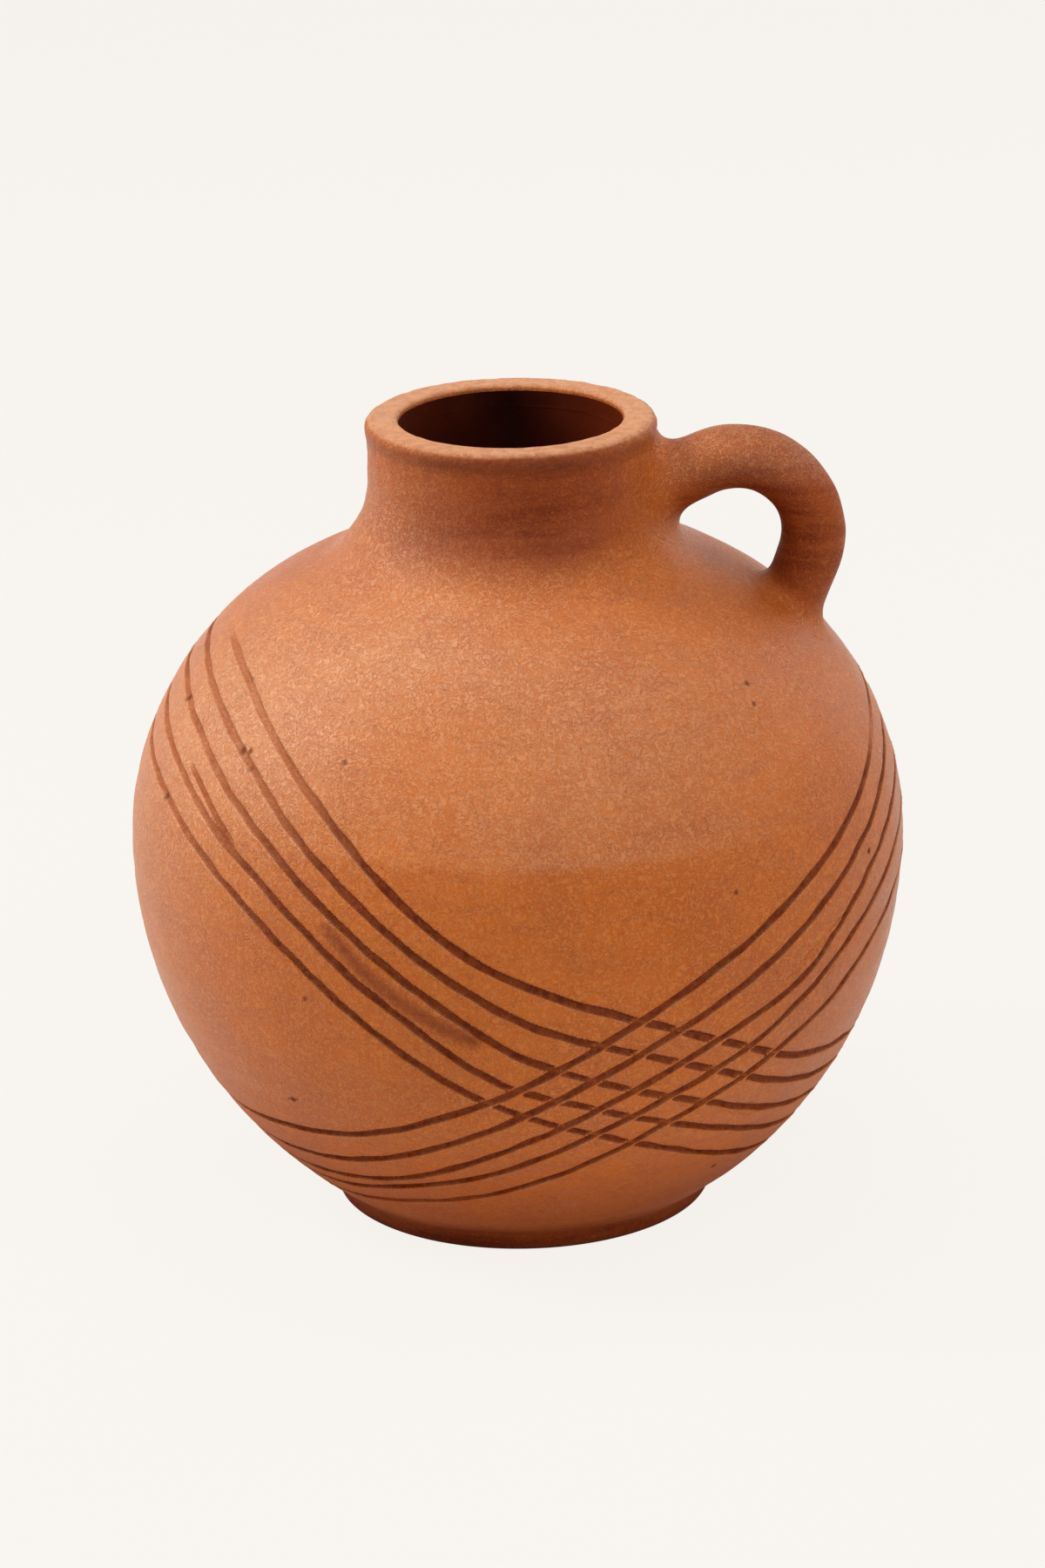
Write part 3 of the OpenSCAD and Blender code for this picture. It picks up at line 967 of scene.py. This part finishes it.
def clay_values(points):
    """Point values that the clay material reads, with no cuts yet."""
    radius = np.hypot(points[:, 0], points[:, 1])
    outside = radius > NECK_R - 2
    below_rim = np.exp(-((points[:, 2] - 226.6) / 2.3) ** 2) * outside
    front = patch(points, FRONT_ANGLE, 222, 60, 40)
    stain_and_shade = 0.8 * below_rim * (0.3 + 0.7 * front)
    smear = np.exp(-(path_gap(points, SMEAR) / 2.6) ** 2)
    crumbs = crumb_soot(points)
    # The last term is a painted contact shadow along the bottom 3 mm of the foot.
    stain_and_shade = stain_and_shade + 0.3 * smear + 1.2 * crumbs + smooth_step((3.2 - points[:, 2]) / 2.6)
    # Painted sheen: pale patches where the lamps' broad highlights fall on the side, shoulder and neck, paler above the
    # pale arc, plus the real pale arc mark itself.
    sheen_and_pale_arc = 0.75 * patch(points, -146, 160, 30, 30) + 0.55 * patch(points, -112, 183, 24, 14)
    sheen_and_pale_arc = sheen_and_pale_arc + 0.3 * patch(points, -160, 110, 26, 45) + 0.3 * patch(points, -70, 172, 30, 20)
    sheen_and_pale_arc = sheen_and_pale_arc + 0.35 * patch(points, -158, 208, 40, 16)
    arc_side = smooth_step((points[:, 2] - 131.5) / 4)
    sheen_and_pale_arc = sheen_and_pale_arc + 0.28 * arc_side * patch(points, -84, 146, 32, 28)
    sheen_and_pale_arc = sheen_and_pale_arc + 0.1 * np.exp(-(path_gap(points, PALE_ARC) / 1.3) ** 2)
    collar = smooth_step((points[:, 2] - 190) / 16)
    ruddy_and_shade = collar * (0.33 + 0.62 * patch(points, -80, 212, 46, 60) - 0.05 * patch(points, -30, 205, 25, 40))
    # Painted shade: the patch at -12 degrees darkens the shoulder beside the handle's lower root, and the next line
    # darkens the clay towards the foot.
    ruddy_and_shade = ruddy_and_shade + 0.45 * patch(points, -12, 176, 26, 13) + 0.3 * collar * patch(points, -125, 196, 22, 12)
    ruddy_and_shade = ruddy_and_shade + 0.75 * smooth_step((13 - points[:, 2]) / 13) + 0.35 * smooth_step((45 - points[:, 2]) / 35)
    top = smooth_step((points[:, 2] - JAR_H + 1.3) / 1.0) * (radius > MOUTH_R - 1)
    # Painted light on the inner sides of the mouth, stronger on the right.
    side = np.abs(points[:, 0]) / np.maximum(radius, 1) * smooth_step((points[:, 2] - 190) / 25)
    side = side * np.where(points[:, 0] > 0, 1.0, 0.55)
    return {
        "cut": np.zeros(len(points)),
        "power": np.zeros(len(points)),
        "burr_and_highlight": np.zeros(len(points)),
        "stain_and_shade": np.clip(stain_and_shade, 0, 1.3),
        "sheen_and_pale_arc": np.clip(sheen_and_pale_arc, 0, 1),
        "ruddy_and_shade": np.clip(ruddy_and_shade + 0.75 * smear + crumbs, 0, 1),
        "worn": top,
        "lit": side * (radius < NECK_R - 2),
        "dull": smooth_step((75 - points[:, 2]) / 60),
    }


def handle_tint_and_shade(points, jar):
    """Redder clay over the loop, with painted shade round the inside and on the right of the loop, and the jar's own
    values where it joins.
    """
    x, z = points[:, 0] - LOOP_C[0], points[:, 2] - LOOP_C[1]
    inner = smooth_step((27 - np.hypot(x, z)) / 12)
    right = smooth_step((x + 8) / 30)
    free = smooth_step(jar_gap(points) / 7)
    return jar * (1 - free) + free * np.clip(0.42 + 0.5 * inner + 0.36 * right, 0, 1)


def node(tree, kind, **sockets):
    """Adds a shader node. Names of its properties or of its inputs give values or links."""
    made = tree.nodes.new(kind)
    for key, value in sockets.items():
        if hasattr(made, key) and key not in made.inputs:
            setattr(made, key, value)
            continue
        name = key.replace("_", " ")
        target = made.inputs[name] if name in made.inputs else made.inputs[key]
        if isinstance(value, bpy.types.NodeSocket):
            tree.links.new(value, target)
        else:
            target.default_value = value
    return made


def noise(tree, where, scale, detail=2.0, rough=0.5, twist=0.0):
    made = node(tree, "ShaderNodeTexNoise", Vector=where, Scale=scale, Detail=detail, Roughness=rough, Distortion=twist)
    return made.outputs["Fac"]


def ramp(tree, value, low, high, bottom=0.0, top=1.0):
    made = node(tree, "ShaderNodeMapRange", Value=value, From_Min=low, From_Max=high, To_Min=bottom, To_Max=top)
    made.interpolation_type = "SMOOTHSTEP"
    made.clamp = True
    return made.outputs["Result"]


def math_node(tree, operation, a, b):
    made = tree.nodes.new("ShaderNodeMath")
    made.operation = operation
    for k, value in enumerate((a, b)):
        if isinstance(value, bpy.types.NodeSocket):
            tree.links.new(value, made.inputs[k])
        else:
            made.inputs[k].default_value = value
    return made.outputs[0]


def blend(tree, share, a, b, how="MIX"):
    made = tree.nodes.new("ShaderNodeMix")
    made.data_type = "RGBA"
    made.blend_type = how
    for socket, value in ((made.inputs[0], share), (made.inputs[6], a), (made.inputs[7], b)):
        if isinstance(value, bpy.types.NodeSocket):
            tree.links.new(value, socket)
        else:
            socket.default_value = value
    return made.outputs[2]


def rgb(r, g, b):
    return (r, g, b, 1.0)


def value_of(tree, name):
    made = tree.nodes.new("ShaderNodeAttribute")
    made.attribute_name = name
    return made.outputs["Fac"]


ORANGE = rgb(0.575, 0.130, 0.011)
BROWN = rgb(0.42, 0.078, 0.005)
# Pale pink: the real wormy grain, and painted sheen where the sheen mask lies.
PINK_GRAIN_AND_SHEEN = rgb(0.60, 0.20, 0.046)
# Colour of the painted sheen's pale grainy highlights.
PAINTED_SHEEN = rgb(0.80, 0.47, 0.31)
SCORCH = rgb(0.40, 0.085, 0.022)
# Cut floor where the painted sheen lies: a painted lit copy of the floor colour.
LIT_CUT_FLOOR = rgb(0.35, 0.082, 0.022)
# Dark red clay: real flecks, smears and tint, and painted shade.
RUDDY_AND_SHADE = rgb(0.165, 0.017, 0.001)
# Cut floor: dirt and painted shade.
CUT_DIRT_AND_SHADE = rgb(0.138, 0.014, 0.001)
# Painted highlight on the lower edges of cuts.
BURR_HIGHLIGHT = rgb(0.72, 0.33, 0.16)
# Soot and grit, and painted shade in cut corners and along the foot's bottom.
SOOT_AND_SHADE = rgb(0.085, 0.019, 0.009)
WORN_CLAY = rgb(0.66, 0.30, 0.14)
# Painted shade: the inside is near black.
HOLLOW_SHADE = rgb(0.012, 0.0015, 0.0006)
CLAY_SPECULAR = 0.17


def hollow_material():
    """The unburnished inside, dull, painted near black as shade, with painted light on the mouth's inner sides."""
    material = bpy.data.materials.new("hollow_in_shade")
    material.use_nodes = True
    tree = material.node_tree
    tree.nodes.clear()
    where = node(tree, "ShaderNodeTexCoord").outputs["Object"]
    patches = ramp(tree, noise(tree, where, 60, 3, 0.6), 0.3, 0.7)
    colour = blend(tree, patches, HOLLOW_SHADE, rgb(0.03, 0.005, 0.002))
    # Painted light on the mouth's inner sides.
    colour = blend(tree, value_of(tree, "lit"), colour, rgb(0.11, 0.013, 0.002))
    bump = node(tree, "ShaderNodeBump", Strength=0.5, Distance=0.0003, Height=noise(tree, where, 500, 3)).outputs["Normal"]
    shader = node(tree, "ShaderNodeBsdfPrincipled", Base_Color=colour, Roughness=0.85, Normal=bump)
    shader.inputs["Specular IOR Level"].default_value = 0.04
    out = tree.nodes.new("ShaderNodeOutputMaterial")
    tree.links.new(shader.outputs[0], out.inputs["Surface"])
    return material


def clay_material(name):
    """Burnished terracotta: mottled orange and brown, fine wormy grain, dirt and painted shade in the cuts, painted
    sheen and painted edge highlights.
    """
    material = bpy.data.materials.new(name)
    material.use_nodes = True
    tree = material.node_tree
    tree.nodes.clear()
    where = node(tree, "ShaderNodeTexCoord").outputs["Object"]
    clouds = noise(tree, where, 14, 3, 0.55)
    mottle = noise(tree, where, 60, 4, 0.6, 0.4)
    flecks = noise(tree, where, 420, 3, 0.6)
    grain = noise(tree, where, 1300, 2, 0.6, 0.6)
    worms = math_node(tree, "SUBTRACT", noise(tree, where, 600, 2, 0.6, 1.4), 0.5)
    worms = ramp(tree, math_node(tree, "MULTIPLY", worms, worms), 0.0, 0.009, 1.0, 0.0)
    worms.node.interpolation_type = "SMOOTHSTEP"
    tone = math_node(tree, "ADD", ramp(tree, clouds, 0.32, 0.7, 0.15, 0.6), ramp(tree, mottle, 0.3, 0.72, 0.05, 0.4))
    colour = blend(tree, tone, BROWN, ORANGE)
    blotches = noise(tree, where, 24, 4, 0.6, 0.5)
    colour = blend(tree, ramp(tree, blotches, 0.48, 0.7, 0.0, 0.6), colour, SCORCH)
    # Painted sheen: pale pink and pale grainy highlights where the sheen mask lies.
    sheen_and_pale_arc = value_of(tree, "sheen_and_pale_arc")
    colour = blend(tree, math_node(tree, "MULTIPLY", sheen_and_pale_arc, ramp(tree, mottle, 0.3, 0.6, 0.5, 0.9)), colour, PINK_GRAIN_AND_SHEEN)
    flat = node(tree, "ShaderNodeVectorMath", operation="MULTIPLY")
    tree.links.new(where, flat.inputs[0])
    flat.inputs[1].default_value = (1, 1, 9)
    streaks = noise(tree, flat.outputs[0], 38, 4, 0.6, 0.3)
    colour = blend(tree, ramp(tree, streaks, 0.5, 0.68, 0.0, 0.5), colour, SCORCH)
    # Dark red clay: real tint, smears and crumbs, and painted shade towards the foot, round the loop and beside the
    # handle's root.
    ruddy_and_shade = math_node(tree, "MULTIPLY", value_of(tree, "ruddy_and_shade"), ramp(tree, streaks, 0.3, 0.68, 1.0, 0.7))
    colour = blend(tree, ruddy_and_shade, colour, RUDDY_AND_SHADE)
    colour = blend(tree, ramp(tree, flecks, 0.57, 0.72, 0, 0.3), colour, RUDDY_AND_SHADE)
    colour = blend(tree, ramp(tree, grain, 0.42, 0.3, 0.0, 0.5), colour, BROWN)
    pale = math_node(tree, "MULTIPLY", worms, ramp(tree, value_of(tree, "ruddy_and_shade"), 0.1, 0.8, 0.5, 0.1))
    pale = math_node(tree, "MULTIPLY", pale, ramp(tree, value_of(tree, "dull"), 0.1, 0.9, 1.0, 0.35))
    colour = blend(tree, pale, colour, PINK_GRAIN_AND_SHEEN)
    # Painted sheen highlights, grainy where the worms are.
    shine = math_node(tree, "MULTIPLY", sheen_and_pale_arc, ramp(tree, worms, 0.0, 1.0, 0.22, 0.6))
    colour = blend(tree, math_node(tree, "MULTIPLY", shine, ramp(tree, grain, 0.3, 0.6, 0.4, 1.0)), colour, PAINTED_SHEEN)
    worn = math_node(tree, "MULTIPLY", value_of(tree, "worn"), ramp(tree, flecks, 0.35, 0.6, 0.6, 0.95))
    colour = blend(tree, worn, colour, WORN_CLAY)
    # Cut floors: dirt plus painted shade, with the painted lit copy of the floor where the sheen lies.
    power = ramp(tree, value_of(tree, "power"), 0.15, 0.85, 0.35, 1.0)
    cut = math_node(tree, "MULTIPLY", ramp(tree, value_of(tree, "cut"), 0.4, 0.58), power)
    dirt_and_shade = math_node(tree, "MULTIPLY", cut, ramp(tree, flecks, 0.3, 0.6, 0.97, 0.75))
    floor = blend(tree, ramp(tree, sheen_and_pale_arc, 0.0, 0.6), CUT_DIRT_AND_SHADE, LIT_CUT_FLOOR)
    colour = blend(tree, dirt_and_shade, colour, floor)
    # Stains, grit and soot, plus painted shade in cut corners and along the foot's bottom.
    stain_and_shade = math_node(tree, "MULTIPLY", value_of(tree, "stain_and_shade"), ramp(tree, mottle, 0.3, 0.6, 0.55, 1.0))
    colour = blend(tree, math_node(tree, "MULTIPLY", stain_and_shade, 0.7), colour, SOOT_AND_SHADE)
    # Painted highlight on the lower edges of cuts, stronger where the sheen lies.
    edge_highlight = math_node(tree, "MULTIPLY", value_of(tree, "burr_and_highlight"), ramp(tree, sheen_and_pale_arc, 0.0, 0.6, 0.22, 0.8))
    colour = blend(tree, edge_highlight, colour, BURR_HIGHLIGHT)
    height = math_node(tree, "ADD", math_node(tree, "MULTIPLY", worms, 0.5), math_node(tree, "MULTIPLY", grain, 0.8))
    bump = node(tree, "ShaderNodeBump", Strength=1.0, Distance=0.0003, Height=height).outputs["Normal"]
    rough = math_node(tree, "ADD", ramp(tree, mottle, 0.3, 0.7, 0.27, 0.36), math_node(tree, "MULTIPLY", cut, 0.4))
    rough = math_node(tree, "ADD", rough, math_node(tree, "MULTIPLY", ruddy_and_shade, 0.3))
    rough = math_node(tree, "ADD", rough, math_node(tree, "MULTIPLY", value_of(tree, "dull"), 0.35))
    shader = node(tree, "ShaderNodeBsdfPrincipled", Base_Color=colour, Roughness=rough, Normal=bump)
    shader.inputs["Specular IOR Level"].default_value = CLAY_SPECULAR
    out = tree.nodes.new("ShaderNodeOutputMaterial")
    tree.links.new(shader.outputs[0], out.inputs["Surface"])
    return material


# Camera of the photograph: its place, the point it looks at, pitch and roll, and its lens.
PITCH = math.radians(19.48)
ROLL = math.radians(1.034)
DISTANCE = 1700.0
TARGET = (1.458, 0.0, 120.888)
FOCAL_PIXELS = 6852.0
IMAGE_H = 1800.0
SENSOR = 36.0
PAPER = rgb(0.9387, 0.9131, 0.8714)


def add_camera():
    ahead = Vector((0, math.cos(PITCH), -math.sin(PITCH)))
    up = Vector((0, math.sin(PITCH), math.cos(PITCH)))
    right = Vector((1, 0, 0))
    x = math.cos(ROLL) * right - math.sin(ROLL) * up
    y = math.sin(ROLL) * right + math.cos(ROLL) * up
    place = (Vector(TARGET) - ahead * DISTANCE) * MM
    data = bpy.data.cameras.new("camera")
    data.sensor_width = SENSOR
    data.lens = FOCAL_PIXELS * SENSOR / IMAGE_H
    data.clip_end = 50
    camera = bpy.data.objects.new("camera", data)
    camera.matrix_world = Matrix((
        (x.x, y.x, -ahead.x, place.x),
        (x.y, y.y, -ahead.y, place.y),
        (x.z, y.z, -ahead.z, place.z),
        (0, 0, 0, 1),
    ))
    bpy.context.scene.collection.objects.link(camera)
    bpy.context.scene.camera = camera


# Soft boxes: name, place, width, height and power. Each looks at the middle of the jar.
LAMPS = [
    ("left", (-1.2, 0.03, 1.02), 0.5, 0.8, 18.0),
    ("front", (0.28, -1.61, 1.59), 1.5, 1.5, 12.5),
    ("right", (1.5, -1.0, 0.9), 1.4, 1.4, 10.0),
    ("top", (0.0, 0.1, 1.95), 0.9, 0.9, 10.5),
    ("rear", (1.2, 0.9, 0.8), 0.8, 0.8, 6.0),
]
WORLD_LIGHT = 0.22


def add_lamps():
    for name, place, width, height, power in LAMPS:
        data = bpy.data.lights.new(name, "AREA")
        data.shape = "RECTANGLE"
        data.size = width
        data.size_y = height
        data.energy = power
        lamp = bpy.data.objects.new(name, data)
        lamp.location = place
        lamp.rotation_euler = (Vector((0, 0, 0.12)) - Vector(place)).to_track_quat("-Z", "Y").to_euler()
        bpy.context.scene.collection.objects.link(lamp)


def seen_rays(tree):
    """1 for what the camera sees by itself, in a reflection or through glass."""
    path = tree.nodes.new("ShaderNodeLightPath")
    seen = math_node(tree, "MAXIMUM", path.outputs["Is Camera Ray"], path.outputs["Is Glossy Ray"])
    return math_node(tree, "MAXIMUM", seen, path.outputs["Is Transmission Ray"])


def add_world():
    world = bpy.data.worlds.new("studio")
    bpy.context.scene.world = world
    world.use_nodes = True
    tree = world.node_tree
    tree.nodes.clear()
    plain = node(tree, "ShaderNodeBackground", Color=rgb(1, 0.98, 0.95), Strength=WORLD_LIGHT)
    paper = node(tree, "ShaderNodeBackground", Color=PAPER, Strength=1.0)
    mix = tree.nodes.new("ShaderNodeMixShader")
    tree.links.new(seen_rays(tree), mix.inputs[0])
    tree.links.new(plain.outputs[0], mix.inputs[1])
    tree.links.new(paper.outputs[0], mix.inputs[2])
    out = tree.nodes.new("ShaderNodeOutputWorld")
    tree.links.new(mix.outputs[0], out.inputs["Surface"])


FLOOR_REACH = 8.0
PAPER_SHARE = 0.95


def floor_material():
    """Pale floor that the camera sees as the paper's colour with the jar's soft shadow on it."""
    material = bpy.data.materials.new("pale_floor")
    material.use_nodes = True
    tree = material.node_tree
    tree.nodes.clear()
    matt = node(tree, "ShaderNodeBsdfDiffuse", Color=rgb(0.80, 0.78, 0.745))
    paper = node(tree, "ShaderNodeEmission", Color=PAPER, Strength=1.0)
    share = math_node(tree, "MULTIPLY", seen_rays(tree), PAPER_SHARE)
    mix = tree.nodes.new("ShaderNodeMixShader")
    tree.links.new(share, mix.inputs[0])
    tree.links.new(matt.outputs[0], mix.inputs[1])
    tree.links.new(paper.outputs[0], mix.inputs[2])
    out = tree.nodes.new("ShaderNodeOutputMaterial")
    tree.links.new(mix.outputs[0], out.inputs["Surface"])
    return material


def add_floor():
    r = FLOOR_REACH
    mesh = bpy.data.meshes.new("floor")
    mesh.from_pydata([(-r, -r, 0), (r, -r, 0), (r, r, 0), (-r, r, 0)], [], [(0, 1, 2, 3)])
    mesh.materials.append(floor_material())
    floor = bpy.data.objects.new("floor", mesh)
    bpy.context.scene.collection.objects.link(floor)


def main():
    lower, upper = body_pieces()
    surfaces = {
        "foot": foot_piece(),
        "lower_body": lower,
        "upper_body": upper,
        "neck": neck_piece(),
        "rim": rim_piece(),
    }
    normals = dict(zip(surfaces, shared_normals(list(surfaces.values()))))
    surfaces["handle"] = handle_piece()
    normals["handle"] = shared_normals([surfaces["handle"]])[0]
    clay = clay_material("fired_clay")
    hollow = hollow_material()
    for name, surface in surfaces.items():
        points = surface.all_points()
        values = clay_values(points)
        for key, value in surface.marks.items():
            values[key][:len(value)] = np.maximum(values[key][:len(value)], value)
        if name == "handle":
            values["ruddy_and_shade"] = handle_tint_and_shade(points, values["ruddy_and_shade"])
            # Painted highlight on the top of the loop.
            top = smooth_step((points[:, 2] - 208) / 10) * smooth_step(jar_gap(points) / 9)
            values["sheen_and_pale_arc"] = np.maximum(values["sheen_and_pale_arc"], 0.28 * top)
        materials = [clay, hollow] if any(surface.dull) else [clay]
        add_piece("jar_" + name, name, surface, normals[name], materials, values)
    add_floor()
    add_world()
    add_lamps()
    add_camera()
    bpy.context.scene.view_settings.view_transform = "Standard"


main()
